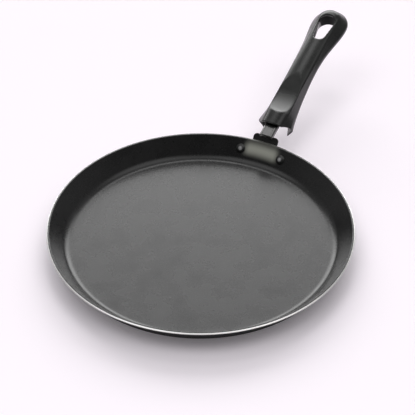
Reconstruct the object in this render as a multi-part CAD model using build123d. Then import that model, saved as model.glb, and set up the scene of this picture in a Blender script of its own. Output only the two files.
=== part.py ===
"""Crepe pan: a low pressed aluminium pan with a riveted bracket and a moulded hooded handle.

Millimetres, +Z up. The origin is the centre of the underside of the base, and the handle points along +Y.
The handle and all that is in it are drawn in the handle's own frame: across is X, along is Y, up is Z,
with the origin at the top of the hood's mouth.
"""

from build123d import *
from math import asin, atan2, cos, radians, sin, tan
import os

# Pan
rim_radius = 130.0
pan_height = 20.0
wall_flare = 15.0
pan_gauge = 2.6
press_radius = 9.0
lip_radius = 0.7

# Turned rings in the underside
ring_count = 6
first_ring_radius = 25.0
ring_pitch = 13.0
ring_width = 2.0
ring_depth = 0.35

# Place of the handle: top of the hood's mouth, outwards from the rim and above it
mouth_reach = 10.4
mouth_rise = 13.6
handle_slope = 15.9

# Bracket
bracket_gauge = 1.6
coat_gap = 0.1
ear_radius = 6.5
neck_width = 24.0
neck_rise = 5.0
neck_corner = 3.5
neck_blend = 2.5
tongue_drop = 5.0
tongue_width = 10.6
tongue_height = 4.2
tongue_corner = 1.8
tongue_insert = 24.0

# Rivets
rivet_span = 39.4
rivet_drop = 11.4
rivet_radius = 2.5
rivet_fit = 0.1
head_radius = 4.4
head_height = 1.7
head_gap = 0.1

# Ferrule: a capped sleeve that reaches over the rim from the mouth of the hood
ferrule_wall = 1.0
ferrule_fit = 0.2
ferrule_reach = 12.0
ferrule_gap = 0.3

# Grip: its sections, from the mouth of the hood to the tail
grip_length = 154.5
top_sag = 1.8
belly = 3.8
belly_tuck = 3.0
side_round = 3.5
belly_round = 2.0
ridge_round = 3.5
socket_fit = 0.2

# Hood, and the hollow in it, which stops short of the thumb seat
hood_depth = 22.0
hollow_depth = 15.5
hood_wall = 2.2
hood_top = 18.0
hood_width = 39.6
hood_widest = 19.3
hood_belly = 9.2
hood_tuck = 6.0
hood_ridge_round = 8.0
hood_side_round = 6.0

# Rim of the mouth, seen from the side: a short brow, then a round notch in each cheek, down to a lip
brow_depth = 4.0
brow_setback = 1.0
cheek_depth = 17.0
cheek_setback = 8.9
lip_depth = 27.5
lip_setback = 7.2

# Shoulder, where the hood ends
shoulder_top = 19.5
shoulder_width = 31.2
shoulder_widest = 14.6
shoulder_belly = 6.5
shoulder_tuck = 5.0
shoulder_ridge_round = 6.0
shoulder_side_round = 6.0

# Stations of the held part, as shares of its length from the end of the hood to the round of the tail
throat_share = 0.125
waist_share = 0.402
palm_share = 0.611
swell_share = 0.838

# Throat, behind the thumb seat
throat_top = 19.8
throat_width = 27.2
throat_widest = 13.6

# Waist
waist_top = 19.4
waist_width = 25.8
waist_widest = 9.4

# Palm
palm_top = 18.6
palm_width = 27.4
palm_widest = 9.2

# Swell and tail
swell_top = 18.4
swell_width = 33.2
swell_widest = 11.8
tail_top = 19.0
tail_width = 36.0
tail_widest = 13.0
tail_ridge_round = 6.0

# Thumb seat: a crest across the hood, a dished fall behind it and a long rise to the waist
seat_crest = 13.8
seat_fall = 16.0
seat_depth = 2.9
seat_rise = 36.0

# Hanging slot, a little wider at its far end
tail_wall = 16.5
slot_length = 30.4
slot_near_width = 10.4
slot_far_width = 14.6
slot_draft = 7.0
slot_bevel = 1.2
bevel_angle = 45.0

# Screw, washer and nut
screw_place = 8.0
screw_radius = 2.0
screw_fit = 0.25
screw_head_radius = 3.8
screw_head_height = 2.4
screw_head_round = 0.6
screw_end = 0.6
washer_radius = 3.9
washer_thickness = 0.9
recess_radius = 4.6
floor_thickness = 2.6
nut_width = 7.2
nut_thickness = 2.2
drive_width = 1.0
drive_length = 4.4
drive_depth = 1.2

# Let every cutter pass its piece
overrun = 2.0

# Worked out from the sizes above
base_radius = rim_radius - wall_flare
wall_angle = atan2(pan_height, wall_flare)
wall_across = pan_gauge / sin(wall_angle)
slope = radians(handle_slope)
neck_half = neck_width / 2
ferrule_grow = ferrule_fit + ferrule_wall
tongue_reach = ferrule_reach - ferrule_grow
tongue_tip = hood_depth + tongue_insert
tail_start = grip_length - tail_width / 2
held_length = tail_start - hood_depth
rivet_half_span = rivet_span / 2

grip_plane = Plane(
    origin=(0, rim_radius + mouth_reach, pan_height + mouth_rise),
    x_dir=(1, 0, 0),
    z_dir=(0, -sin(slope), cos(slope)),
)


def across(along):
    """Plane square to the handle at this distance along it, with X across and Y up."""
    return Plane(origin=(0, along, 0), x_dir=(1, 0, 0), z_dir=(0, -1, 0))


def wall_radius(height, offset):
    """Radius of the outer wall's cone at this height, moved outwards by the offset, square to it."""
    return base_radius + height / tan(wall_angle) + offset / sin(wall_angle)


def cone_body(offset):
    """Solid inside the outer wall's cone, moved outwards by the offset, past both ends of the wall."""
    reach = pan_height + mouth_rise
    low = wall_radius(-reach, offset)
    high = wall_radius(pan_height + reach, offset)
    profile = Polyline(
        (0, -reach),
        (low, -reach),
        (high, pan_height + reach),
        (0, pan_height + reach),
        close=True,
    )
    return revolve(Plane.XZ * make_face(profile), Axis.Z)


def wall_plane(angle, drop):
    """Plane on the outer wall, the drop down the slope from the rim, with Y up the wall and Z outwards."""
    rim_point = rim_radius - drop * cos(wall_angle)
    height = pan_height - drop * sin(wall_angle)
    outward = Vector(sin(angle), cos(angle), 0)
    normal = outward * sin(wall_angle) - Vector(0, 0, 1) * cos(wall_angle)
    side = Vector(-cos(angle), sin(angle), 0)
    return Plane(origin=outward * rim_point + Vector(0, 0, height), x_dir=side, z_dir=normal)


def rivet_angle():
    """Angle round the pan from the handle to one rivet."""
    radius = rim_radius - rivet_drop * cos(wall_angle)
    return asin(rivet_half_span / radius)


def shank_hole(side, radius):
    """Cylinder through wall and bracket where a rivet goes."""
    plane = wall_plane(side * rivet_angle(), rivet_drop)
    reach = pan_gauge + bracket_gauge + overrun
    return plane * Cylinder(radius, 2 * reach)


def pan_body():
    """The pan: one sheet with a flat base, a pressed corner, a flared wall and a rounded trimmed lip."""
    inner_corner = base_radius - wall_across + pan_gauge / tan(wall_angle)
    profile = make_face(
        Polyline(
            (0, 0),
            (base_radius, 0),
            (rim_radius, pan_height),
            (rim_radius - wall_across, pan_height),
            (inner_corner, pan_gauge),
            (0, pan_gauge),
            close=True,
        )
    )
    inside = profile.vertices().filter_by_position(Axis.X, inner_corner, inner_corner)
    profile = fillet(inside, press_radius)
    outside = profile.vertices().filter_by_position(Axis.X, base_radius, base_radius)
    profile = fillet(outside, press_radius + pan_gauge)
    lip = profile.vertices().filter_by_position(Axis.Y, pan_height, pan_height)
    profile = fillet(lip, lip_radius)
    pan = revolve(Plane.XZ * profile, Axis.Z)
    for ring in range(ring_count):
        pan -= base_ring(first_ring_radius + ring * ring_pitch)
    for side in (-1, 1):
        pan -= shank_hole(side, rivet_radius + rivet_fit)
    return pan


def base_ring(radius):
    """One shallow turned ring in the underside, a V with a wide mouth."""
    half = ring_width / 2
    profile = Polyline((radius - half, 0), (radius, ring_depth), (radius + half, 0), close=True)
    return revolve(Plane.XZ * make_face(profile), Axis.Z)


def tongue_section(grow):
    """Outline of the tongue, grown evenly all round."""
    middle = -tongue_drop - tongue_height / 2
    section = RectangleRounded(tongue_width + 2 * grow, tongue_height + 2 * grow, tongue_corner + grow)
    return Pos(0, middle) * section


def along_handle(section, start, end):
    """Prism of a section of the handle between two places along it."""
    return extrude(across(end) * section, end - start)


def bracket_outline():
    """Flange laid flat: a bar from rivet to rivet and a neck that stands up past the rim."""
    bar = Pos(0, -rivet_drop) * SlotCenterToCenter(rivet_span, 2 * ear_radius)
    neck_low = rivet_drop + ear_radius
    neck = Pos(0, (neck_rise - neck_low) / 2) * Rectangle(neck_width, neck_rise + neck_low)
    neck = fillet(neck.vertices().group_by(Axis.Y)[-1], neck_corner)
    outline = bar + neck
    bar_top = ear_radius - rivet_drop
    corners = outline.vertices().filter_by_position(Axis.Y, bar_top, bar_top)
    return fillet(corners.filter_by_position(Axis.X, -neck_half, neck_half), neck_blend)


def screw_axis():
    """Place of the screw along the handle, past the end of the hood's hollow."""
    return Pos(0, hood_depth + screw_place, 0)


def flange(grow):
    """Flange curved to the wall, grown evenly on every side."""
    reach = ear_radius + bracket_gauge + overrun
    outline = bracket_outline()
    if grow:
        outline = offset(outline, grow)
    plate = extrude(wall_plane(0, 0) * outline, reach, both=True)
    plate &= cone_body(coat_gap + bracket_gauge + grow)
    return plate - cone_body(coat_gap - grow)


def handle_bracket():
    """Pressed bracket: the flange, and a channel-shaped tongue that goes into the grip."""
    channel = along_handle(tongue_section(0), -tongue_reach, tongue_tip)
    hollow_height = tongue_height - bracket_gauge + overrun
    hollow_middle = -tongue_drop - bracket_gauge - hollow_height / 2
    hollow = Pos(0, hollow_middle) * Rectangle(tongue_width - 2 * bracket_gauge, hollow_height)
    channel -= along_handle(hollow, bracket_gauge - tongue_reach, tongue_tip + overrun)
    hole = Cylinder(screw_radius + screw_fit, 2 * tongue_height)
    channel -= screw_axis() * Pos(0, 0, -tongue_drop) * hole
    bracket = flange(0) + grip_plane * channel
    for side in (-1, 1):
        bracket -= shank_hole(side, rivet_radius + rivet_fit)
    return bracket


def rivet(side):
    """One rivet: a low dome inside the pan, the shank, and a flatter formed head on the bracket."""
    inside = -pan_gauge - head_gap
    outside = coat_gap + bracket_gauge
    dome = TangentArc((0, inside - head_height), (head_radius, inside), tangent=(1, 0))
    formed = TangentArc((0, outside + head_height), (head_radius, outside), tangent=(1, 0))
    shank = Polyline(
        (head_radius, inside),
        (rivet_radius, inside),
        (rivet_radius, outside),
        (head_radius, outside),
    )
    axis = Line((0, outside + head_height), (0, inside - head_height))
    body = revolve(Plane.XZ * make_face([dome, shank, formed, axis]), Axis.Z)
    return wall_plane(side * rivet_angle(), rivet_drop) * body


def ferrule():
    """Capped sleeve over the tongue, slotted for the flange, up to the end of the hood's hollow."""
    tube = along_handle(tongue_section(ferrule_grow), -ferrule_reach, hollow_depth)
    bore = along_handle(tongue_section(ferrule_fit), ferrule_wall - ferrule_reach, hollow_depth + overrun)
    tube -= bore
    return grip_plane * tube - flange(ferrule_gap)


def grip_section(top, width, widest, under, tuck, upper_round, flank_round):
    """Section of the grip: a crowned top, flanks that slope out to the widest level, and a belly."""
    low = width / 2 - tuck
    bottom = -widest - under
    crown = ThreePointArc((-top / 2, -top_sag), (0, 0), (top / 2, -top_sag))
    rest = Polyline(
        (top / 2, -top_sag),
        (width / 2, -widest),
        (low, bottom),
        (-low, bottom),
        (-width / 2, -widest),
        (-top / 2, -top_sag),
    )
    face = make_face([crown, rest])
    face = fillet(face.vertices().group_by(Axis.Y)[-1], upper_round)
    face = fillet(face.vertices().group_by(Axis.Y)[0], belly_round)
    corners = face.vertices().sort_by(Axis.X)
    return fillet([corners[0], corners[-1]], flank_round)


def hood_section(inset, deeper):
    """Section at the mouth, drawn in by a wall and with its belly let down."""
    return grip_section(
        hood_top,
        hood_width - 2 * inset,
        hood_widest - inset,
        hood_belly + deeper,
        hood_tuck,
        hood_ridge_round - inset,
        hood_side_round - inset,
    )


def shoulder_section(inset, deeper):
    """Section where the hood ends, drawn in and let down in the same way."""
    return grip_section(
        shoulder_top,
        shoulder_width - 2 * inset,
        shoulder_widest - inset,
        shoulder_belly + deeper,
        shoulder_tuck,
        shoulder_ridge_round - inset,
        shoulder_side_round - inset,
    )


def held_section(top, width, widest, upper_round):
    """Section of the part that the hand holds."""
    return grip_section(top, width, widest, belly, belly_tuck, upper_round, side_round)


def grip_blank():
    """The grip before it is hollowed: hood, waist and tail in one skin, and a half-round end."""
    throat = held_section(throat_top, throat_width, throat_widest, ridge_round)
    waist = held_section(waist_top, waist_width, waist_widest, ridge_round)
    palm = held_section(palm_top, palm_width, palm_widest, ridge_round)
    swell = held_section(swell_top, swell_width, swell_widest, ridge_round)
    tail = held_section(tail_top, tail_width, tail_widest, tail_ridge_round)
    skin = loft(
        [
            across(-overrun) * hood_section(0, 0),
            across(hood_depth) * shoulder_section(0, 0),
            across(hood_depth + throat_share * held_length) * throat,
            across(hood_depth + waist_share * held_length) * waist,
            across(hood_depth + palm_share * held_length) * palm,
            across(hood_depth + swell_share * held_length) * swell,
            across(tail_start) * tail,
        ]
    )
    tail_height = tail_widest + belly
    half = Pos(tail_width / 2, -tail_height / 2) * Rectangle(tail_width, tail_height + overrun)
    turned = across(tail_start) * (tail & half)
    end = revolve(turned, Axis((0, tail_start, 0), (0, 0, 1)), 180)
    return skin + end


def hood_hollow():
    """Space under the hood, open at the mouth and all along the underside, inside an even wall."""
    drop = Pos(0, -hood_wall)
    mouth = hood_section(hood_wall, overrun)
    inner = shoulder_section(hood_wall, overrun)
    return loft([across(-overrun) * drop * mouth, across(hollow_depth) * drop * inner])


def mouth_cut():
    """Cut across the mouth that shapes its rim: brow, round notch and lip."""
    bottom = -hood_widest - hood_belly - overrun
    notch = ThreePointArc(
        (brow_setback, -brow_depth),
        (cheek_setback, -cheek_depth),
        (lip_setback, -lip_depth),
    )
    rest = Polyline(
        (lip_setback, -lip_depth),
        (lip_setback, bottom),
        (-2 * overrun, bottom),
        (-2 * overrun, overrun),
        (0, overrun),
        (0, 0),
        (brow_setback, -brow_depth),
    )
    return extrude(Plane.YZ * make_face([notch, rest]), hood_width, both=True)


def thumb_seat():
    """Cut across the top: it falls behind the crest, then rises gently to nothing at the waist."""
    seat_low = seat_crest + seat_fall
    seat_end = seat_low + seat_rise
    crest_slope = 2 * seat_depth / seat_fall
    fall = Spline((seat_crest, 0), (seat_low, -seat_depth), tangents=[(1, -crest_slope), (1, 0)])
    rise = Spline((seat_low, -seat_depth), (seat_end, 0), tangents=[(1, 0), (1, 0)])
    cover = Polyline(
        (seat_end, 0),
        (seat_end, overrun),
        (seat_crest - overrun, overrun),
        (seat_crest - overrun, overrun * crest_slope),
        (seat_crest, 0),
    )
    return extrude(Plane.YZ * make_face([fall, rise, cover]), hood_width, both=True)


def hanging_slot():
    """Slot through the tail, wider at its far end and drafted from the top, with a bevelled edge."""
    far = grip_length - tail_wall - slot_far_width / 2
    near = grip_length - tail_wall - slot_length + slot_near_width / 2
    near_end = Pos(0, near) * Circle(slot_near_width / 2)
    far_end = Pos(0, far) * Circle(slot_far_width / 2)
    outline = make_hull(near_end.edges() + far_end.edges())
    bottom = -tail_widest - belly - overrun
    slot = extrude(Pos(0, 0, overrun) * outline, bottom - overrun, taper=-slot_draft)
    wide = offset(outline, slot_bevel + overrun)
    return slot + extrude(Pos(0, 0, overrun) * wide, -slot_bevel - overrun, taper=bevel_angle)


def floor_level():
    """Level of the washer's seat in the underside of the grip."""
    return -tongue_drop - tongue_height - socket_fit - floor_thickness


def screw_passage():
    """Hole for the screw up into the socket, and the recess for its head in the underside."""
    hole = Cylinder(screw_radius + screw_fit, -floor_level())
    hole = Pos(0, 0, floor_level() / 2 - tongue_drop) * hole
    recess_height = shoulder_widest + shoulder_belly + floor_level()
    recess = Pos(0, 0, floor_level() - recess_height / 2) * Cylinder(recess_radius, recess_height)
    return screw_axis() * (hole + recess)


def handle_grip():
    """Moulded grip: hood, socket for the tongue, thumb seat, waist and a round tail with its slot."""
    grip = grip_blank()
    grip -= hood_hollow()
    grip -= mouth_cut()
    grip -= along_handle(tongue_section(socket_fit), hollow_depth - overrun, tongue_tip + socket_fit)
    grip -= thumb_seat()
    grip -= screw_passage()
    grip -= hanging_slot()
    return grip_plane * grip


def grip_screw():
    """Slotted cheese-head screw, driven from below into the nut."""
    head_top = floor_level() - washer_thickness
    nut_top = -tongue_drop - bracket_gauge
    length = nut_top + screw_end - head_top
    shank = Pos(0, 0, head_top + length / 2) * Cylinder(screw_radius, length)
    head = Pos(0, 0, head_top - screw_head_height / 2) * Cylinder(screw_head_radius, screw_head_height)
    head = fillet(head.edges().group_by(Axis.Z)[0], screw_head_round)
    drive_middle = head_top - screw_head_height + drive_depth / 2
    drive = Pos(0, 0, drive_middle) * Box(drive_length, drive_width, drive_depth)
    return grip_plane * screw_axis() * (shank + head - drive)


def screw_washer():
    """Washer under the screw's head."""
    middle = floor_level() - washer_thickness / 2
    ring = Cylinder(washer_radius, washer_thickness)
    ring -= Cylinder(screw_radius + screw_fit, washer_thickness)
    return grip_plane * screw_axis() * Pos(0, 0, middle) * ring


def tongue_nut():
    """Square nut held inside the tongue's channel, against its web."""
    middle = -tongue_drop - bracket_gauge - nut_thickness / 2
    nut = Box(nut_width, nut_width, nut_thickness) - Cylinder(screw_radius, nut_thickness)
    return grip_plane * screw_axis() * Pos(0, 0, middle) * nut


os.makedirs("parts", exist_ok=True)
export_step(pan_body(), "parts/pan_body.step")
export_step(handle_bracket(), "parts/handle_bracket.step")
export_step(Compound([rivet(-1), rivet(1)]), "parts/rivets.step")
export_step(ferrule(), "parts/ferrule.step")
export_step(handle_grip(), "parts/handle_grip.step")
export_step(grip_screw(), "parts/grip_screw.step")
export_step(screw_washer(), "parts/screw_washer.step")
export_step(tongue_nut(), "parts/tongue_nut.step")
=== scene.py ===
# %% [markdown]
# A crepe pan: a low pressed aluminium pan with a dark non-stick coat, and a hooded handle that a
# bracket and two rivets hold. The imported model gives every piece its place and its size. This
# lesson gives the pieces their finish, in metres, in the same frame: the origin is the centre of
# the underside, the handle points along +Y, and +Z is up out of the pan.

# %% Load the fixed frame
import bpy
import math
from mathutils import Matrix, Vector


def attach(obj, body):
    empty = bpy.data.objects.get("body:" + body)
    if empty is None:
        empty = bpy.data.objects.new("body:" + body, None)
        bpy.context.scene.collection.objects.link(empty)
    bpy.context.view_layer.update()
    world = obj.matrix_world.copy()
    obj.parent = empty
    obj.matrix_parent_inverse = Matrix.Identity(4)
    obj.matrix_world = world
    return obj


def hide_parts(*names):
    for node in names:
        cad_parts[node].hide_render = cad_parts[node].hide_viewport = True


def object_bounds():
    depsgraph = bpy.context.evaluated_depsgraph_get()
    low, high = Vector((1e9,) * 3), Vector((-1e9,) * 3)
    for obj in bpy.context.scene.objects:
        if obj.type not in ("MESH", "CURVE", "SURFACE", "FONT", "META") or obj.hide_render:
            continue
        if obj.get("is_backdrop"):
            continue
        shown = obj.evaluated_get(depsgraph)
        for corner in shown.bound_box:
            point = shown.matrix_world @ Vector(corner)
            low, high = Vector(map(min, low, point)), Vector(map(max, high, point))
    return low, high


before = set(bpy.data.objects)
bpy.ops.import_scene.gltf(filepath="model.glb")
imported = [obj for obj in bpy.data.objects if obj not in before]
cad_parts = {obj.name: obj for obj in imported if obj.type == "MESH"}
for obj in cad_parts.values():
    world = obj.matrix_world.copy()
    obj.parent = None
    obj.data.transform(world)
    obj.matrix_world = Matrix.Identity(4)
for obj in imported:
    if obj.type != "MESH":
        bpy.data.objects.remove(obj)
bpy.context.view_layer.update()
scene = bpy.context.scene
scene.view_settings.view_transform = "Standard"
mm = 0.001
print("CAD nodes:", sorted(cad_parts))

# %% [markdown]
# The camera comes first, because every finish is judged from it. The pan in the photograph is
# seen from the front right, about 40 degrees above the table, and the rim's centre lies a little
# below the middle of the frame. So the camera is set by two angles, a distance and the place of
# that centre in the frame. It stays square to its own axis, so no lens shift is needed.

# %% Camera at the photograph's angle
frame_px = 415
rim_centre_px = (200.84, 225.36)
focal_px = 1490.8
sensor_width = 36
view_azimuth = math.radians(26.2)
view_elevation = math.radians(39.79)
view_distance = 1.248
rim_centre = Vector((0, 0, 20 * mm))

level = Vector((math.sin(view_azimuth), -math.cos(view_azimuth), 0))
view_back = level * math.cos(view_elevation) + Vector((0, 0, math.sin(view_elevation)))
view_right = Vector((math.cos(view_azimuth), math.sin(view_azimuth), 0))
view_up = view_back.cross(view_right)

px = view_distance / focal_px
aside = (rim_centre_px[0] - frame_px / 2) * px
down = (rim_centre_px[1] - frame_px / 2) * px

camera_data = bpy.data.cameras.new("camera")
camera_data.sensor_width = sensor_width
camera_data.lens = focal_px * sensor_width / frame_px
camera = bpy.data.objects.new("camera", camera_data)
scene.collection.objects.link(camera)
camera.location = rim_centre + view_back * view_distance - view_right * aside + view_up * down
camera.rotation_euler = view_back.to_track_quat("Z", "Y").to_euler()
scene.camera = camera
print("camera at", [round(c, 3) for c in camera.location], "lens", round(camera_data.lens, 1))

# %% [markdown]
# The sizes are the real ones, and each is written once. The rivets' places follow from them: each
# sits on the sloping wall, a little way round from the handle. The handle climbs at a shallow
# slope, so two directions are kept for it: along the handle, and square to it, upwards.

# %% Sizes of the pan
rim_radius = 130 * mm
pan_height = 20 * mm
wall_flare = 15 * mm
pan_gauge = 2.6 * mm
press_radius = 9 * mm
lip_radius = 0.7 * mm
ring_count = 6
first_ring_radius = 25 * mm
ring_pitch = 13 * mm
ring_width = 2 * mm
ring_depth = 0.35 * mm

base_radius = rim_radius - wall_flare
wall_angle = math.atan2(pan_height, wall_flare)
wall_across = pan_gauge / math.sin(wall_angle)
print("wall leans", round(math.degrees(wall_angle), 1), "degrees")

rivet_span = 39.4 * mm
rivet_drop = 11.4 * mm
rivet_radius = 2.5 * mm
head_radius = 4.4 * mm
head_height = 1.7 * mm
head_gap = 0.1 * mm
coat_gap = 0.1 * mm
bracket_gauge = 1.6 * mm
rivet_reach = rim_radius - rivet_drop * math.cos(wall_angle)
rivet_angle = math.asin(rivet_span / 2 / rivet_reach)
rivet_height = pan_height - rivet_drop * math.sin(wall_angle)

handle_slope = math.radians(15.9)
along_handle = Vector((0, math.cos(handle_slope), math.sin(handle_slope)))
off_handle = Vector((0, -math.sin(handle_slope), math.cos(handle_slope)))


def rivet_axis(side):
    """The outer end of a rivet's axis on the wall, and the direction outwards, square to it."""
    outward = Vector((math.sin(side * rivet_angle), math.cos(rivet_angle), 0))
    normal = outward * math.sin(wall_angle) - Vector((0, 0, math.cos(wall_angle)))
    return outward * rivet_reach + Vector((0, 0, rivet_height)), normal


def rivet_crown(side):
    """The crown of the head inside the pan."""
    place, normal = rivet_axis(side)
    return place - normal * (pan_gauge + head_gap + head_height)


print("rivet heads at", [[round(c * 1000, 1) for c in rivet_crown(side)] for side in (-1, 1)])

# %% [markdown]
# A finish in Blender is a tree of nodes, and written out node by node it is hard to read. Two
# short helpers keep it readable: one adds a node and sets its inputs, and one joins two sockets.

# %% Helpers for node trees
def node(tree, kind, **values):
    """Adds a node. A value whose name is a socket's, with _ for a space, goes to that input."""
    made = tree.nodes.new(kind)
    sockets = {s.name.replace(" ", "_"): s for s in reversed(made.inputs) if s.enabled}
    for name, value in values.items():
        if name in sockets:
            sockets[name].default_value = value
        else:
            setattr(made, name, value)
    return made


def join(tree, start, end):
    tree.links.new(start, end)


print("node groups at the start:", len(bpy.data.node_groups))

# %% [markdown]
# Most finishes need the same few calculations: arithmetic on sockets and numbers, one range
# mapped onto another, a mix of two values, and a colour made darker or lighter. Each is one node,
# so each is one helper, and a finish then reads like a line of arithmetic.

# %% Helpers for calculations
# The mix node keeps a set of sockets for each kind: first input, second input and output.
mix_sockets = {"FLOAT": (2, 3, 0), "RGBA": (6, 7, 2)}


def calculate(tree, operation, *values):
    """A math node on sockets and numbers."""
    made = node(tree, "ShaderNodeMath", operation=operation)
    for socket, value in zip(made.inputs, values):
        if isinstance(value, (int, float)):
            socket.default_value = value
        else:
            join(tree, value, socket)
    return made.outputs[0]


def ranged(tree, value, start, end, low, high, step="LINEAR"):
    """Maps the range from start to end onto the range from low to high."""
    made = node(tree, "ShaderNodeMapRange", From_Min=start, From_Max=end, To_Min=low, To_Max=high)
    made.interpolation_type = step
    join(tree, value, made.inputs["Value"])
    return made.outputs[0]


def mixed(tree, kind, share, first, second):
    """A mix of two colours or two numbers. The second is a socket or a plain value."""
    made = node(tree, "ShaderNodeMix", data_type=kind)
    first_input, second_input, result = mix_sockets[kind]
    join(tree, share, made.inputs[0])
    join(tree, first, made.inputs[first_input])
    if isinstance(second, bpy.types.NodeSocket):
        join(tree, second, made.inputs[second_input])
    else:
        made.inputs[second_input].default_value = second
    return made.outputs[result]


def scaled(tree, colour, share):
    """A colour times a number."""
    made = node(tree, "ShaderNodeVectorMath", operation="SCALE")
    join(tree, colour, made.inputs[0])
    join(tree, share, made.inputs["Scale"])
    return made.outputs[0]


print("kinds of mix:", sorted(mix_sockets))

# %% [markdown]
# A pattern that several finishes share goes into a node group with named sockets. It is built
# once, and each finish only gives it other values. The last helper here makes such a finish: it
# joins the group's colour, roughness and height to the surface.

# %% Helpers for groups and materials
def shader_group(name, inputs, outputs):
    """Makes an empty shader group, and returns it with its input node and output node."""
    tree = bpy.data.node_groups.new(name, "ShaderNodeTree")
    for label, (kind, value) in inputs.items():
        socket = tree.interface.new_socket(label, in_out="INPUT", socket_type=kind)
        socket.default_value = value
    for label, kind in outputs.items():
        tree.interface.new_socket(label, in_out="OUTPUT", socket_type=kind)
    return tree, tree.nodes.new("NodeGroupInput"), tree.nodes.new("NodeGroupOutput")


def material(name):
    """Makes a node material, and returns it with its tree and its Principled BSDF."""
    made = bpy.data.materials.new(name)
    made.use_nodes = True
    return made, made.node_tree, made.node_tree.nodes["Principled BSDF"]


def grouped(name, group, values, bump):
    """A material on a group, with its bump depth in metres. Returns its group and surface too."""
    made, tree, surface = material(name)
    body = node(tree, "ShaderNodeGroup", node_tree=group)
    for label, value in values.items():
        body.inputs[label].default_value = value
    join(tree, body.outputs["Colour"], surface.inputs["Base Color"])
    join(tree, body.outputs["Roughness"], surface.inputs["Roughness"])
    relief = node(tree, "ShaderNodeBump", Strength=1.0, Distance=bump)
    join(tree, body.outputs["Height"], relief.inputs["Height"])
    join(tree, relief.outputs["Normal"], surface.inputs["Normal"])
    return made, body, surface


print("materials at the start:", len(bpy.data.materials))

# %% [markdown]
# The coat is sprayed on and baked, so close up it is a fine pebble of dark resin with lighter
# flakes in it. The same effect, with other values, is the powder paint of the bracket and the
# moulded skin of the grip. It is therefore one group: two noises give the flakes and the slow
# clouds of the spray, and the flakes also give the height of the pebble. The sizes of the flakes
# and of the clouds are in millimetres.

# %% Sprayed coat group
flake_low, flake_high = 0.45, 0.75
cloud_low, cloud_high = 0.3, 0.7


def build_sprayed_coat():
    number, colour = "NodeSocketFloat", "NodeSocketColor"
    inputs = {
        "Colour": (colour, (0.03, 0.03, 0.03, 1)),
        "Flake colour": (colour, (0.08, 0.08, 0.08, 1)),
        "Flake size": (number, 0.4),
        "Flakes": (number, 0.4),
        "Cloud size": (number, 30),
        "Clouds": (number, 0.3),
        "Roughness": (number, 0.45),
        "Rough spread": (number, 0.08),
    }
    outputs = {"Colour": colour, "Roughness": number, "Height": number}
    tree, start, end = shader_group("sprayed coat", inputs, outputs)
    place = node(tree, "ShaderNodeTexCoord").outputs["Object"]
    flakes = node(tree, "ShaderNodeTexNoise", Detail=2, Roughness=0.7)
    clouds = node(tree, "ShaderNodeTexNoise", Detail=3, Roughness=0.6)
    for noise, size in ((flakes, "Flake size"), (clouds, "Cloud size")):
        join(tree, place, noise.inputs["Vector"])
        join(tree, calculate(tree, "DIVIDE", 1 / mm, start.outputs[size]), noise.inputs["Scale"])
    flake_mask = ranged(tree, flakes.outputs["Fac"], flake_low, flake_high, 0, 1)
    flake_share = calculate(tree, "MULTIPLY", flake_mask, start.outputs["Flakes"])
    tint = mixed(tree, "RGBA", flake_share, start.outputs["Colour"], start.outputs["Flake colour"])
    cloud_mask = ranged(tree, clouds.outputs["Fac"], cloud_low, cloud_high, -0.5, 0.5)
    cloud_share = calculate(tree, "MULTIPLY_ADD", cloud_mask, start.outputs["Clouds"], 1)
    join(tree, scaled(tree, tint, cloud_share), end.inputs["Colour"])
    levels = (start.outputs["Rough spread"], start.outputs["Roughness"])
    join(tree, calculate(tree, "MULTIPLY_ADD", cloud_mask, *levels), end.inputs["Roughness"])
    join(tree, flakes.outputs["Fac"], end.inputs["Height"])
    return tree


sprayed_coat = build_sprayed_coat()


def coated(name, values, bump, specular):
    """A material on the sprayed coat."""
    made, _, surface = grouped(name, sprayed_coat, values, bump)
    surface.inputs["Specular IOR Level"].default_value = specular
    return made


print("coat group has", len(sprayed_coat.nodes), "nodes")

# %% [markdown]
# Inside, the pan has a dark coat with fine light flakes, and it shines softly, so that batter
# slides on it. The outside has a plainer and much duller coat. Both are the same sprayed coat, so
# only the values differ.

# %% Coats of the pan
def grey(value):
    return (value, value, value, 1)


pan_coat = coated(
    "pan_coat",
    {
        "Colour": (0.012, 0.0118, 0.012, 1),
        "Flake colour": (0.05, 0.049, 0.051, 1),
        "Flake size": 0.9,
        "Flakes": 0.4,
        "Cloud size": 24,
        "Clouds": 0.3,
        "Roughness": 0.27,
        "Rough spread": 0.08,
    },
    bump=0.03 * mm,
    specular=0.42,
)
outer_coat = coated(
    "outer_coat",
    {
        "Colour": grey(0.008),
        "Flake colour": grey(0.025),
        "Flake size": 0.8,
        "Flakes": 0.3,
        "Cloud size": 30,
        "Clouds": 0.3,
        "Roughness": 0.6,
        "Rough spread": 0.1,
    },
    bump=0.02 * mm,
    specular=0.08,
)
print("coats of the pan:", pan_coat.name, outer_coat.name)
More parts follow.
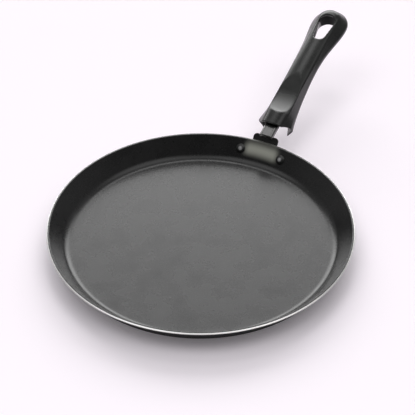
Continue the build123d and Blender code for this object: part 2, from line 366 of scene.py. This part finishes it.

# %% [markdown]
# The bracket is powder painted, almost black. The grip is moulded from a hard dark resin with a
# smooth skin. The walls of its hanging slot take a darker coat with hardly any shine, which is
# painted shade in the slot. The three take the same group as the pan, with a finer grain and a
# shine of their own.

# %% Paint and moulded skins
black_paint = coated(
    "black_paint",
    {
        "Colour": grey(0.006),
        "Flake colour": grey(0.014),
        "Flake size": 0.5,
        "Flakes": 0.3,
        "Cloud size": 12,
        "Clouds": 0.3,
        "Roughness": 0.4,
        "Rough spread": 0.1,
    },
    bump=0.02 * mm,
    specular=0.35,
)
phenolic = coated(
    "phenolic",
    {
        "Colour": (0.0085, 0.009, 0.0085, 1),
        "Flake colour": (0.02, 0.021, 0.02, 1),
        "Flake size": 0.5,
        "Flakes": 0.3,
        "Cloud size": 18,
        "Clouds": 0.4,
        "Roughness": 0.24,
        "Rough spread": 0.06,
    },
    bump=0.015 * mm,
    specular=0.45,
)
# The slot's darker, shineless coat is painted shade in the hanging slot.
slot_coat = coated(
    "slot_coat",
    {
        "Colour": grey(0.006),
        "Flake colour": grey(0.015),
        "Flake size": 0.5,
        "Flakes": 0.3,
        "Cloud size": 18,
        "Clouds": 0.4,
        "Roughness": 0.5,
        "Rough spread": 0.1,
    },
    bump=0.015 * mm,
    specular=0.06,
)
print("paint and skins:", black_paint.name, phenolic.name, slot_coat.name)

# %% [markdown]
# Three finishes are a plain coat with painted light in one place: a sheen on the pad on the wall,
# highlights on the crowns of the rivets, and a sheen on the thumb seat. A picture laid over the
# pieces could show them, but it would blur close up. So each change is a mask that reads the place
# on the piece, and a helper mixes another colour and roughness in by that mask.

# %% Helpers for masks
def fade(tree, value, start, end, low, high):
    """A smooth step of a value from one level to another."""
    return ranged(tree, value, start, end, low, high, "SMOOTHSTEP")


def product(tree, first, second):
    return calculate(tree, "MULTIPLY", first, second)


def unsigned(tree, value):
    return calculate(tree, "ABSOLUTE", value)


def along(tree, place, direction):
    """How far a place lies along a direction."""
    made = node(tree, "ShaderNodeVectorMath", operation="DOT_PRODUCT")
    made.inputs[1].default_value = direction
    join(tree, place, made.inputs[0])
    return made.outputs["Value"]


def lighten(finish, mask, colour, rough):
    """Mixes another colour into a coat's base colour and roughness by a mask."""
    tree = finish.node_tree
    surface = tree.nodes["Principled BSDF"]
    for label, kind, value in (("Base Color", "RGBA", colour), ("Roughness", "FLOAT", rough)):
        socket = surface.inputs[label]
        before = socket.links[0].from_socket
        join(tree, mixed(tree, kind, mask, before, value), socket)


print("coats that can be lightened:", pan_coat.name, phenolic.name)

# %% [markdown]
# Between the rivets the press leaves a flat pad on the wall. The light it catches is painted into
# its coat as a lighter olive grey, strongest along its lower edge. The mask is a product of soft
# steps: across the handle, towards the handle's side of the pan, and up the wall.

# %% Painted light on the pad
pad_half_width = 15 * mm
pad_side_fade = 8 * mm
pad_bottom = 6.5 * mm
pad_lower_edge = 13 * mm
pad_top = 21 * mm
pad_top_share = 0.15
# The pad's lighter olive grey is painted light: the sheen that the pressed pad catches.
pad_light_colour = (0.48, 0.485, 0.425, 1)
pad_roughness = 0.5


# Where the painted light on the pad lies, strongest at its lower edge.
def pad_light_mask(tree):
    place = node(tree, "ShaderNodeTexCoord")
    parts = node(tree, "ShaderNodeSeparateXYZ")
    join(tree, place.outputs["Object"], parts.inputs[0])
    sides = (pad_half_width - pad_side_fade / 2, pad_half_width + pad_side_fade / 2)
    across = fade(tree, unsigned(tree, parts.outputs["X"]), *sides, 1, 0)
    ahead = fade(tree, parts.outputs["Y"], 0, rim_radius / 2, 0, 1)
    up = fade(tree, parts.outputs["Z"], pad_bottom, pad_lower_edge, 0, 1)
    over = fade(tree, parts.outputs["Z"], pad_lower_edge, pad_top, 1, pad_top_share)
    return product(tree, product(tree, across, ahead), product(tree, up, over))


lighten(pan_coat, pad_light_mask(pan_coat.node_tree), pad_light_colour, pad_roughness)
print("pan coat has", len(pan_coat.node_tree.nodes), "nodes")

# %% [markdown]
# The heads of the rivets show a small light spot at the crown. It is a painted highlight: a paler,
# smoother coat. The mask is the distance to the nearer crown, and it fades out before the edge of
# the head.

# %% Painted highlights on the crowns of the rivets
crown_full, crown_gone = 0.75 * mm, 2.4 * mm
# Colour of the painted highlight on each crown.
crown_highlight_colour = (0.44, 0.44, 0.445, 1)
crown_roughness = 0.3
rivet_coat = coated(
    "rivet_coat",
    {
        "Colour": grey(0.012),
        "Flake colour": grey(0.05),
        "Flake size": 0.6,
        "Flakes": 0.4,
        "Cloud size": 6,
        "Clouds": 0.3,
        "Roughness": 0.35,
        "Rough spread": 0.1,
    },
    bump=0.02 * mm,
    specular=0.6,
)


# Where the painted highlight on each crown lies.
def crown_highlight_mask(tree):
    place = node(tree, "ShaderNodeTexCoord")
    reaches = []
    for side in (-1, 1):
        reach = node(tree, "ShaderNodeVectorMath", operation="DISTANCE")
        join(tree, place.outputs["Object"], reach.inputs[0])
        reach.inputs[1].default_value = rivet_crown(side)
        reaches.append(reach.outputs["Value"])
    return fade(tree, calculate(tree, "MINIMUM", *reaches), crown_full, crown_gone, 1, 0)


lighten(rivet_coat, crown_highlight_mask(rivet_coat.node_tree), crown_highlight_colour, crown_roughness)
print("rivet coat has", len(rivet_coat.node_tree.nodes), "nodes")

# %% [markdown]
# The thumb rests on a shallow seat behind the hood of the grip. The light it catches is painted
# into the coat as a paler colour, most of all at its lower end. The mask reads the place across the
# handle and along it.

# %% Painted sheen on the thumb seat
seat_near, seat_full, seat_fading, seat_far = 158.5 * mm, 162 * mm, 168 * mm, 189 * mm
seat_half_width = 9 * mm
seat_side_fade = 4 * mm
# Colour of the painted sheen on the thumb seat.
seat_sheen_colour = (0.125, 0.126, 0.125, 1)
seat_roughness = 0.36


# Where the painted sheen on the thumb seat lies.
def seat_sheen_mask(tree):
    place = node(tree, "ShaderNodeTexCoord").outputs["Object"]
    sides = (seat_half_width - seat_side_fade / 2, seat_half_width + seat_side_fade / 2)
    across = fade(tree, unsigned(tree, along(tree, place, (1, 0, 0))), *sides, 1, 0)
    reach = along(tree, place, along_handle)
    start = fade(tree, reach, seat_near, seat_full, 0, 1)
    end = fade(tree, reach, seat_fading, seat_far, 1, 0)
    return product(tree, across, product(tree, start, end))


lighten(phenolic, seat_sheen_mask(phenolic.node_tree), seat_sheen_colour, seat_roughness)
print("phenolic has", len(phenolic.node_tree.nodes), "nodes")

# %% [markdown]
# The bare metal is turned, trimmed or brushed, and it shows fine lines that follow the tool. On
# the lip and the base the lines are circles round the pan's axis, so the pattern reads the
# distance from that axis. On the sleeve they run along the handle, so the pattern is a noise
# stretched along it. One group holds both: a line noise and a slow dulling.

# %% Bare metal group
line_low, line_high = 0.25, 0.75


def build_bare_metal():
    number, colour = "NodeSocketFloat", "NodeSocketColor"
    inputs = {
        "Vector": ("NodeSocketVector", (0, 0, 0)),
        "Colour": (colour, (0.6, 0.6, 0.6, 1)),
        "Line scale": (number, 900),
        "Lines": (number, 0.2),
        "Roughness": (number, 0.3),
        "Rough spread": (number, 0.15),
    }
    outputs = {"Colour": colour, "Roughness": number, "Height": number}
    tree, start, end = shader_group("bare metal", inputs, outputs)
    lines = node(tree, "ShaderNodeTexNoise", Detail=2, Roughness=0.6)
    join(tree, start.outputs["Vector"], lines.inputs["Vector"])
    join(tree, start.outputs["Line scale"], lines.inputs["Scale"])
    place = node(tree, "ShaderNodeTexCoord")
    dulling = node(tree, "ShaderNodeTexNoise", Scale=60, Detail=4, Roughness=0.65)
    join(tree, place.outputs["Object"], dulling.inputs["Vector"])
    line_mask = ranged(tree, lines.outputs["Fac"], line_low, line_high, -1, 1)
    share = calculate(tree, "MULTIPLY_ADD", line_mask, start.outputs["Lines"], 1)
    join(tree, scaled(tree, start.outputs["Colour"], share), end.inputs["Colour"])
    dull = ranged(tree, dulling.outputs["Fac"], cloud_low, cloud_high, -0.5, 0.5)
    levels = (start.outputs["Rough spread"], start.outputs["Roughness"])
    join(tree, calculate(tree, "MULTIPLY_ADD", dull, *levels), end.inputs["Roughness"])
    join(tree, lines.outputs["Fac"], end.inputs["Height"])
    return tree


bare_metal = build_bare_metal()


print("metal group has", len(bare_metal.nodes), "nodes")

# %% [markdown]
# A bare metal is the group above with a pattern of lines. The two patterns differ only in where
# the group reads its noise: at the distance from the pan's axis, or at the place on the handle
# with the length squeezed, which draws the noise out into lines.

# %% Patterns of the lines
line_stretch = 0.03


def metal(name, values, bump, pattern):
    """A bare metal whose line pattern follows what the function pattern builds."""
    made, body, surface = grouped(name, bare_metal, values, bump)
    join(made.node_tree, pattern(made.node_tree), body.inputs["Vector"])
    surface.inputs["Metallic"].default_value = 1
    return made


def turned_lines(tree):
    """Distance from the pan's axis, so that the lines are circles round it."""
    place = node(tree, "ShaderNodeTexCoord")
    flat = node(tree, "ShaderNodeVectorMath", operation="MULTIPLY")
    flat.inputs[1].default_value = (1, 1, 0)
    join(tree, place.outputs["Object"], flat.inputs[0])
    reach = node(tree, "ShaderNodeVectorMath", operation="LENGTH")
    join(tree, flat.outputs[0], reach.inputs[0])
    spread = node(tree, "ShaderNodeCombineXYZ")
    join(tree, reach.outputs["Value"], spread.inputs["X"])
    return spread.outputs[0]


def lines_along_handle(tree):
    """The handle's own axes, with the pattern stretched along it."""
    place = node(tree, "ShaderNodeTexCoord")
    turn = node(tree, "ShaderNodeMapping", vector_type="POINT")
    turn.inputs["Rotation"].default_value = (-handle_slope, 0, 0)
    stretch = node(tree, "ShaderNodeVectorMath", operation="MULTIPLY")
    stretch.inputs[1].default_value = (1, line_stretch, 1)
    join(tree, place.outputs["Object"], turn.inputs["Vector"])
    join(tree, turn.outputs[0], stretch.inputs[0])
    return stretch.outputs[0]


print("lines are drawn out", round(1 / line_stretch), "times")

# %% [markdown]
# The lip is freshly trimmed and bright, and the turned base is greyer. The sleeve is a darker
# satin steel. The screw, its washer and its nut are plated with zinc.

# %% Bare finishes
lip_metal = metal(
    "lip_metal",
    {
        "Colour": (0.88, 0.87, 0.865, 1),
        "Line scale": 3000,
        "Lines": 0.08,
        "Roughness": 0.38,
        "Rough spread": 0.1,
    },
    bump=0.003 * mm,
    pattern=turned_lines,
)
base_metal = metal(
    "base_metal",
    {
        "Colour": (0.62, 0.61, 0.6, 1),
        "Line scale": 1500,
        "Lines": 0.12,
        "Roughness": 0.36,
        "Rough spread": 0.12,
    },
    bump=0.01 * mm,
    pattern=turned_lines,
)
sleeve_steel = metal(
    "sleeve_steel",
    {
        "Colour": (0.19, 0.188, 0.188, 1),
        "Line scale": 2500,
        "Lines": 0.15,
        "Roughness": 0.25,
        "Rough spread": 0.1,
    },
    bump=0.004 * mm,
    pattern=lines_along_handle,
)
zinc = metal(
    "zinc",
    {
        "Colour": (0.6, 0.6, 0.58, 1),
        "Line scale": 1200,
        "Lines": 0.1,
        "Roughness": 0.32,
        "Rough spread": 0.15,
    },
    bump=0.003 * mm,
    pattern=lines_along_handle,
)
print("bare metals:", [m.name for m in (lip_metal, base_metal, sleeve_steel, zinc)])

# %% [markdown]
# The pan is one sheet with the same section all the way round, so its shape follows a rule: a
# profile turned about the axis. The profile has three kinds of run, and each is a helper: a
# rounded corner, a straight line in even steps, and the underside with its shallow rings.

# %% Helpers for the profile
def rounded(before, corner, after, radius, steps):
    """Points of the arc that rounds a corner between two straight runs."""
    corner = Vector(corner)
    back = (Vector(before) - corner).normalized()
    ahead = (Vector(after) - corner).normalized()
    half = back.angle(ahead) / 2
    centre = corner + (back + ahead).normalized() * radius / math.sin(half)
    start = corner + back * radius / math.tan(half) - centre
    end = corner + ahead * radius / math.tan(half) - centre
    sweep = math.pi - 2 * half
    points = []
    for step in range(steps + 1):
        share = step / steps
        first = math.sin((1 - share) * sweep) / math.sin(sweep)
        second = math.sin(share * sweep) / math.sin(sweep)
        points.append(centre + start * first + end * second)
    return points


def underside(stop):
    """Points along the underside, from the axis outwards, with the turned rings."""
    points = [Vector((0, 0))]
    for ring in range(ring_count):
        radius = first_ring_radius + ring * ring_pitch
        half = ring_width / 2
        groove = ((radius - half, 0), (radius, ring_depth), (radius + half, 0))
        points += [Vector(place) for place in groove]
    return [p for p in points if p.x < stop]


def straight(start, end, steps):
    """Points between two places, without the places themselves."""
    start, end = Vector(start), Vector(end)
    return [start.lerp(end, step / steps) for step in range(1, steps)]


print("rings in the underside:", ring_count)

# %% [markdown]
# The profile is drawn once, as the real sheet's section: flat base, pressed corner, flared wall,
# and a lip with a narrow face trimmed on its outer side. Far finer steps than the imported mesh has
# make the corner and the lip run smoothly.

# %% Profile of the sheet
corner_steps = 14
lip_steps = 6
edge_radius = 0.3 * mm
trim_width = 1.15 * mm
trim_drop = 0.85 * mm
wall_steps = 24
floor_steps = 20
outer_base = (base_radius, 0)
outer_rim = (rim_radius, pan_height)
inner_rim = (rim_radius - wall_across, pan_height)
trimmed_low = (rim_radius - trim_drop / math.tan(wall_angle), pan_height - trim_drop)
trimmed_high = (trimmed_low[0] - trim_width, pan_height)
inner_base = (base_radius - wall_across + pan_gauge / math.tan(wall_angle), pan_gauge)

outer_corner = rounded((0, 0), outer_base, outer_rim, press_radius + pan_gauge, corner_steps)
outer_lip = rounded(outer_base, trimmed_low, trimmed_high, edge_radius, lip_steps)
inner_lip = rounded(outer_rim, inner_rim, inner_base, lip_radius, lip_steps)
inner_corner = rounded(inner_rim, inner_base, (0, pan_gauge), press_radius, corner_steps)
profile = underside(outer_corner[0].x) + outer_corner
profile += straight(outer_corner[-1], outer_lip[0], wall_steps) + outer_lip
profile += [Vector(trimmed_high)] + inner_lip
profile += straight(inner_lip[-1], inner_corner[0], wall_steps) + inner_corner
profile += straight(inner_corner[-1], (0, pan_gauge), floor_steps) + [Vector((0, pan_gauge))]
print("profile of", len(profile), "points")

# %% [markdown]
# Geometry Nodes build a shape from a rule, and the rule can be used again. The helpers here make
# an empty tree, set a tree on an object, turn the result into a plain mesh, and make the bare
# points of a profile for a tree to sample.

# %% Helpers for Geometry Nodes
def geometry_tree(name, inputs):
    """Makes an empty Geometry Nodes tree with a geometry in and out, and the named inputs."""
    tree = bpy.data.node_groups.new(name, "GeometryNodeTree")
    tree.interface.new_socket("Geometry", in_out="INPUT", socket_type="NodeSocketGeometry")
    for label, kind in inputs.items():
        tree.interface.new_socket(label, in_out="INPUT", socket_type=kind)
    tree.interface.new_socket("Geometry", in_out="OUTPUT", socket_type="NodeSocketGeometry")
    return tree, tree.nodes.new("NodeGroupInput"), tree.nodes.new("NodeGroupOutput")


def apply_tree(obj, tree, values):
    """Sets the tree's inputs by their identifiers and turns the result into the object's mesh."""
    modifier = obj.modifiers.new("tree", "NODES")
    modifier.node_group = tree
    for item in tree.interface.items_tree:
        if item.in_out == "INPUT" and item.name in values:
            modifier[item.identifier] = values[item.name]
    bake_modifiers(obj)


def bake_modifiers(obj):
    """Turns the object's modifiers into its own mesh."""
    bpy.context.view_layer.update()
    shown = obj.evaluated_get(bpy.context.evaluated_depsgraph_get())
    mesh = bpy.data.meshes.new_from_object(shown)
    obj.modifiers.clear()
    obj.data = mesh


def outline_object(name, points):
    """A mesh of bare points in the XZ plane, for the turning tree to sample."""
    mesh = bpy.data.meshes.new(name)
    mesh.from_pydata([(p.x, 0, p.y) for p in points], [], [])
    obj = bpy.data.objects.new(name, mesh)
    scene.collection.objects.link(obj)
    return obj


# %% [markdown]
# The turning tree lays a grid of points over the profile. Each point takes its radius and height
# from the profile and its angle from the grid, as on a potter's wheel. A spin of the profile
# would do the same once, but the tree also turns the rivets.

# %% Turning tree
merge_distance = 0.001 * mm
half_grid = 0.5


def build_turning():
    inputs = {
        "Segments": "NodeSocketInt",
        "Profile points": "NodeSocketInt",
        "Material": "NodeSocketMaterial",
    }
    tree, start, end = geometry_tree("turning", inputs)
    columns = calculate(tree, "ADD", start.outputs["Segments"], 1)
    grid = node(tree, "GeometryNodeMeshGrid", Size_X=2 * half_grid, Size_Y=2 * half_grid)
    join(tree, columns, grid.inputs["Vertices X"])
    join(tree, start.outputs["Profile points"], grid.inputs["Vertices Y"])
    place = tree.nodes.new("GeometryNodeInputPosition")
    split = node(tree, "ShaderNodeSeparateXYZ")
    join(tree, place.outputs[0], split.inputs[0])
    turn = calculate(tree, "ADD", split.outputs["X"], half_grid)
    around = calculate(tree, "MULTIPLY", turn, 2 * math.pi)
    last = calculate(tree, "SUBTRACT", start.outputs["Profile points"], 1)
    share = calculate(tree, "ADD", split.outputs["Y"], half_grid)
    row = calculate(tree, "ROUND", calculate(tree, "MULTIPLY", share, last))
    take = node(tree, "GeometryNodeSampleIndex", data_type="FLOAT_VECTOR", domain="POINT")
    join(tree, start.outputs["Geometry"], take.inputs["Geometry"])
    join(tree, place.outputs[0], take.inputs["Value"])
    join(tree, row, take.inputs["Index"])
    section = node(tree, "ShaderNodeSeparateXYZ")
    join(tree, take.outputs[0], section.inputs[0])
    target = node(tree, "ShaderNodeCombineXYZ")
    for operation, axis in (("COSINE", "X"), ("SINE", "Y")):
        part = calculate(tree, operation, around)
        join(tree, calculate(tree, "MULTIPLY", section.outputs["X"], part), target.inputs[axis])
    join(tree, section.outputs["Z"], target.inputs["Z"])
    move = tree.nodes.new("GeometryNodeSetPosition")
    join(tree, grid.outputs["Mesh"], move.inputs["Geometry"])
    join(tree, target.outputs[0], move.inputs["Position"])
    merge = node(tree, "GeometryNodeMergeByDistance", Distance=merge_distance)
    join(tree, move.outputs[0], merge.inputs["Geometry"])
    smooth = tree.nodes.new("GeometryNodeSetShadeSmooth")
    join(tree, merge.outputs[0], smooth.inputs["Geometry"])
    realize = tree.nodes.new("GeometryNodeRealizeInstances")
    join(tree, smooth.outputs[0], realize.inputs["Geometry"])
    finish = tree.nodes.new("GeometryNodeSetMaterial")
    join(tree, realize.outputs[0], finish.inputs["Geometry"])
    join(tree, start.outputs["Material"], finish.inputs["Material"])
    join(tree, finish.outputs[0], end.inputs["Geometry"])
    return tree


turning = build_turning()
print("turning tree has", len(turning.nodes), "nodes")


# %% Sheet of the pan
def turned(name, points, segments, finish):
    obj = outline_object(name, points)
    values = {"Segments": segments, "Profile points": len(points), "Material": finish}
    apply_tree(obj, turning, values)
    return obj


pan_segments = 256
pan_sheet = turned("pan_sheet", profile, pan_segments, pan_coat)
print("pan sheet:", len(pan_sheet.data.vertices), "points,", len(pan_sheet.data.polygons), "faces")

# %% [markdown]
# The pad between the rivets is a flat that the press leaves on the curved wall. Every point of
# the inner wall there moves square to the wall, towards the middle of the pan, by a smooth share
# of the press depth: full between the rivets at the lower edge, nothing at the rim.

# %% Pad between the rivets
press_depth = 0.6 * mm
press_ease = 2 * mm
inner_side, outer_side = pad_half_width - pad_side_fade, pad_half_width + pad_side_fade


def smooth_step(value, start, end):
    share = min(max((value - start) / (end - start), 0), 1)
    return share * share * (3 - 2 * share)


pressed = 0
inwards = Vector((0, -math.sin(wall_angle), math.cos(wall_angle)))
for vertex in pan_sheet.data.vertices:
    place = vertex.co
    reach = math.hypot(place.x, place.y)
    wall_middle = base_radius + place.z / math.tan(wall_angle) - wall_across / 2
    if place.y < 0 or reach > wall_middle or place.z < pan_gauge:
        continue
    share = 1 - smooth_step(abs(place.x), inner_side, outer_side)
    share *= smooth_step(place.z, pad_bottom - press_ease, pad_lower_edge)
    share *= 1 - smooth_step(place.z, pad_lower_edge, pan_height - press_ease)
    if share > 0:
        vertex.co = place + inwards * press_depth * share
        pressed += 1
print("points in the pad:", pressed)

# %% [markdown]
# Only the inside is the speckled coat. The lip was trimmed after coating, so it is bare; the
# outside has a plain dark coat; the flat underside is bare turned metal. Each face takes its
# finish from where it lies.

# %% Finishes of the sheet
inside_coat, bare_lip, outside_coat, bare_base = range(4)
pan_sheet.data.materials.clear()
for finish in (pan_coat, lip_metal, outer_coat, base_metal):
    pan_sheet.data.materials.append(finish)
coat_overlap = 1.5 * mm
base_reach = outer_corner[0].x - coat_overlap
for face in pan_sheet.data.polygons:
    centre = face.center
    reach = math.hypot(centre.x, centre.y)
    wall_middle = base_radius + centre.z / math.tan(wall_angle) - wall_across / 2
    on_base = reach < base_radius - 2 * pan_gauge
    inside = centre.z > pan_gauge / 2 if on_base else reach < wall_middle
    if centre.z > trimmed_low[1] and reach > trimmed_high[0]:
        face.material_index = bare_lip
    elif inside:
        face.material_index = inside_coat
    elif reach < base_reach:
        face.material_index = bare_base
    else:
        face.material_index = outside_coat
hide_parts("pan_body")
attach(pan_sheet, "root")
found = [face.material_index for face in pan_sheet.data.polygons]
print("faces by finish:", [found.count(index) for index in range(4)])

# %% [markdown]
# The two rivets are alike, so one is drawn, and the turning tree turns it about the rivet's own
# axis: a low dome inside the pan, the shank, and a formed head on the bracket.

# %% Rivet profile
def dome(radius, height, level, steps):
    """Points of a shallow dome from its crown to its edge, on the level given."""
    ball = (radius * radius + height * height) / (2 * height)
    sweep = math.asin(radius / ball)
    centre = level + height - ball
    angles = [sweep * step / steps for step in range(steps + 1)]
    return [Vector((ball * math.sin(a), centre + ball * math.cos(a))) for a in angles]


dome_steps = 12
inner_level = pan_gauge + head_gap
outer_level = coat_gap + bracket_gauge
formed_head = dome(head_radius, head_height, outer_level, dome_steps)
inner_head = [Vector((p.x, -p.y)) for p in dome(head_radius, head_height, inner_level, dome_steps)]
shank = [Vector((rivet_radius, outer_level)), Vector((rivet_radius, -inner_level))]
rivet_profile = formed_head + shank + inner_head[::-1]
rivet_segments = 48
one_rivet = turned("one_rivet", rivet_profile, rivet_segments, rivet_coat)
print("one rivet:", len(one_rivet.data.polygons), "faces")

# %% [markdown]
# A second tree sets both rivets. It tips the one rivet onto the slope of the wall, moves it out
# to the rivets' circle, and turns one copy to each side of the handle. Joined in the tree, the two
# stay one piece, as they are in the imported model.

# %% Setting tree
def build_setting():
    inputs = {"Part": "NodeSocketObject"}
    inputs.update({label: "NodeSocketFloat" for label in ("Tip", "Turn", "Reach", "Height")})
    tree, start, end = geometry_tree("set to both sides", inputs)
    part = node(tree, "GeometryNodeObjectInfo")
    join(tree, start.outputs["Part"], part.inputs["Object"])
    tip = node(tree, "ShaderNodeCombineXYZ")
    join(tree, start.outputs["Tip"], tip.inputs["X"])
    place = node(tree, "ShaderNodeCombineXYZ")
    join(tree, start.outputs["Reach"], place.inputs["Y"])
    join(tree, start.outputs["Height"], place.inputs["Z"])
    stand = tree.nodes.new("GeometryNodeTransform")
    join(tree, part.outputs["Geometry"], stand.inputs["Geometry"])
    join(tree, place.outputs[0], stand.inputs["Translation"])
    join(tree, tip.outputs[0], stand.inputs["Rotation"])
    both = tree.nodes.new("GeometryNodeJoinGeometry")
    for side in (-1, 1):
        angle = node(tree, "ShaderNodeCombineXYZ")
        join(tree, calculate(tree, "MULTIPLY", start.outputs["Turn"], side), angle.inputs["Z"])
        turn = tree.nodes.new("GeometryNodeTransform")
        join(tree, stand.outputs[0], turn.inputs["Geometry"])
        join(tree, angle.outputs[0], turn.inputs["Rotation"])
        join(tree, turn.outputs[0], both.inputs[0])
    realize = tree.nodes.new("GeometryNodeRealizeInstances")
    join(tree, both.outputs[0], realize.inputs["Geometry"])
    finish = tree.nodes.new("GeometryNodeSetMaterial")
    finish.inputs["Material"].default_value = rivet_coat
    join(tree, realize.outputs[0], finish.inputs["Geometry"])
    join(tree, finish.outputs[0], end.inputs["Geometry"])
    return tree


setting_tree = build_setting()
print("setting tree has", len(setting_tree.nodes), "nodes")

# %% Both rivets
tip = -math.pi / 2 - (math.pi / 2 - wall_angle)
rivet_pair = outline_object("rivet_pair", [])
setting = {
    "Part": one_rivet,
    "Tip": tip,
    "Turn": rivet_angle,
    "Reach": rivet_reach,
    "Height": rivet_height,
}
apply_tree(rivet_pair, setting_tree, setting)
bpy.data.objects.remove(one_rivet)
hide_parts("rivets")
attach(rivet_pair, "root")
print("rivets:", len(rivet_pair.data.polygons), "faces")

# %% [markdown]
# The grip is moulded in one piece, and a mould leaves no knife edge: every rim, scoop and slot
# has a small round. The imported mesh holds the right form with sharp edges. A copy of it is
# merged, remeshed into small even squares and relaxed a little, which gives each edge that
# round. The pressed bracket and the sleeve have the same soft edges, so they take the same steps
# with smaller squares.

# %% Softened pieces
grip_cell, bracket_cell, sleeve_cell = 0.5 * mm, 0.28 * mm, 0.24 * mm
grip_passes, bracket_passes, sleeve_passes = 5, 3, 4
relax_share = 0.5


def softened(name, source, cell, passes, finish):
    """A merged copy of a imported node, remeshed into even cells and relaxed, in its own finish."""
    obj = bpy.data.objects.new(name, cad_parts[source].data.copy())
    scene.collection.objects.link(obj)
    weld = obj.modifiers.new("weld", "WELD")
    weld.merge_threshold = merge_distance
    remesh = obj.modifiers.new("remesh", "REMESH")
    remesh.mode = "VOXEL"
    remesh.voxel_size = cell
    relax = obj.modifiers.new("relax", "SMOOTH")
    relax.factor = relax_share
    relax.iterations = passes
    bake_modifiers(obj)
    for face in obj.data.polygons:
        face.use_smooth = True
    obj.data.materials.clear()
    obj.data.materials.append(finish)
    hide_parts(source)
    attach(obj, "root")
    print(name, len(obj.data.polygons), "faces")
    return obj


grip = softened("grip", "handle_grip", grip_cell, grip_passes, phenolic)
softened("bracket", "handle_bracket", bracket_cell, bracket_passes, black_paint)
softened("sleeve", "ferrule", sleeve_cell, sleeve_passes, sleeve_steel)

# %% [markdown]
# The walls of the hanging slot take a darker coat with hardly any shine: painted shade deep in the
# slot. Their faces are picked by their place in the grip.

# %% Walls of the hanging slot
slot_along = 269.2 * mm
slot_half_length = 16 * mm
slot_half_width = 8.2 * mm
slot_rim_level = -8.8 * mm
facing_down = -0.9

grip.data.materials.append(slot_coat)
for face in grip.data.polygons:
    centre = face.center
    off_middle = abs(centre.dot(along_handle) - slot_along)
    within = abs(centre.x) < slot_half_width and off_middle < slot_half_length
    if within and centre.dot(off_handle) < slot_rim_level and face.normal.z > facing_down:
        face.material_index = 1
print("faces of the slot:", sum(face.material_index for face in grip.data.polygons))

# %% [markdown]
# The screw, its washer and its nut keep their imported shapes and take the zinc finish.

# %% Finishes of the fastening parts
for name in ("grip_screw", "screw_washer", "tongue_nut"):
    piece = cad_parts[name]
    piece.data.materials.clear()
    piece.data.materials.append(zinc)
print("fastenings in", zinc.name)

# %% [markdown]
# The pan stands on a white sheet that reaches far past the frame. It glows a little, so that the
# shadow stays pale, as it does in the photograph.

# %% Stage
floor_size = 20.0
paper_colour = (0.96, 0.9, 0.96, 1)
paper_roughness = 0.9
glow_colour = (1, 0.945, 1, 1)
glow_strength = 0.11

floor_mesh = bpy.data.meshes.new("floor")
corners = [(x * floor_size, y * floor_size, 0) for x, y in ((-1, -1), (1, -1), (1, 1), (-1, 1))]
floor_mesh.from_pydata(corners, [], [(0, 1, 2, 3)])
floor = bpy.data.objects.new("floor", floor_mesh)
scene.collection.objects.link(floor)
floor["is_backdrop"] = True
floor_paper, tree, surface = material("floor_paper")
surface.inputs["Base Color"].default_value = paper_colour
surface.inputs["Roughness"].default_value = paper_roughness
surface.inputs["Specular IOR Level"].default_value = 0.0
surface.inputs["Emission Color"].default_value = glow_colour
surface.inputs["Emission Strength"].default_value = glow_strength
floor.data.materials.append(floor_paper)
print("floor reaches", floor_size, "m each way")

# %% [markdown]
# The light is the room itself: a world whose strength depends on the direction. Lamps would show
# as hard round spots in the shiny coat, and this way each light is as broad and soft as it needs
# to be. A panel stands behind the pan, from about 15 to 40 degrees up, and narrows towards its
# top. The floor of the pan mirrors it and is grey, while the far wall mirrors the dim side where
# the camera stands and is almost black. A small box above the panel lights the thumb seat. Two
# soft lights stand high on the left and on the right, a little towards the camera, and light the
# near lip and the crowns of the rivets.

# %% Sizes of the room light
# Each pair is where a soft edge starts and ends, as the cosine of the angle to a direction.
front_strength, overhead_strength = 0.08, 0.3
dim_edge = (-0.7, 0.1)
panel_strength = 5.5
panel_bottom, panel_top = (0.15, 0.35), (0.56, 0.7)
panel_slant, panel_ends = 0.6, (0.68, 0.82)
panel_back = (0, 0.3)
side_strength = 1.2
side_right, side_up, side_front = 0.4, 0.9, 0.17
side_edge = (0.88, 0.97)
box_strength = 3.4
box_elevation = math.radians(56)
box_edge = (0.974, 0.997)
box_direction = Vector((0, 0, math.sin(box_elevation))) - level * math.cos(box_elevation)
print("the box stands", round(math.degrees(box_elevation)), "degrees up")


# %% Room light
def added(tree, value, weight, rest):
    """A value times a weight, plus the rest."""
    return calculate(tree, "MULTIPLY_ADD", value, weight, rest)


world = bpy.data.worlds.new("room")
scene.world = world
world.use_nodes = True
tree = world.node_tree
tree.nodes.clear()
place = node(tree, "ShaderNodeTexCoord").outputs["Generated"]
up = along(tree, place, (0, 0, 1))
behind = along(tree, place, -level)
sideways = unsigned(tree, along(tree, place, view_right))

panel_band = product(tree, fade(tree, up, *panel_bottom, 0, 1), fade(tree, up, *panel_top, 1, 0))
ends = fade(tree, added(tree, up, panel_slant, sideways), *panel_ends, 1, 0)
panel = product(tree, panel_band, product(tree, ends, fade(tree, behind, *panel_back, 0, 1)))
upward = along(tree, place, Vector((0, 0, side_up)) + level * side_front)
high = added(tree, sideways, side_right, upward)
box = along(tree, place, box_direction)

strength = fade(tree, behind, *dim_edge, front_strength, overhead_strength)
strength = added(tree, panel, panel_strength, strength)
strength = added(tree, fade(tree, high, *side_edge, 0, 1), side_strength, strength)
strength = added(tree, fade(tree, box, *box_edge, 0, 1), box_strength, strength)
light = node(tree, "ShaderNodeBackground", Color=(1, 1, 1, 1))
join(tree, strength, light.inputs["Strength"])
out = node(tree, "ShaderNodeOutputWorld")
join(tree, light.outputs[0], out.inputs["Surface"])
print("the room has", len(tree.nodes), "nodes")

# %% [markdown]
# Last, the box round the finished pieces is measured.

# %% Box round the finished pieces, and the end
low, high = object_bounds()
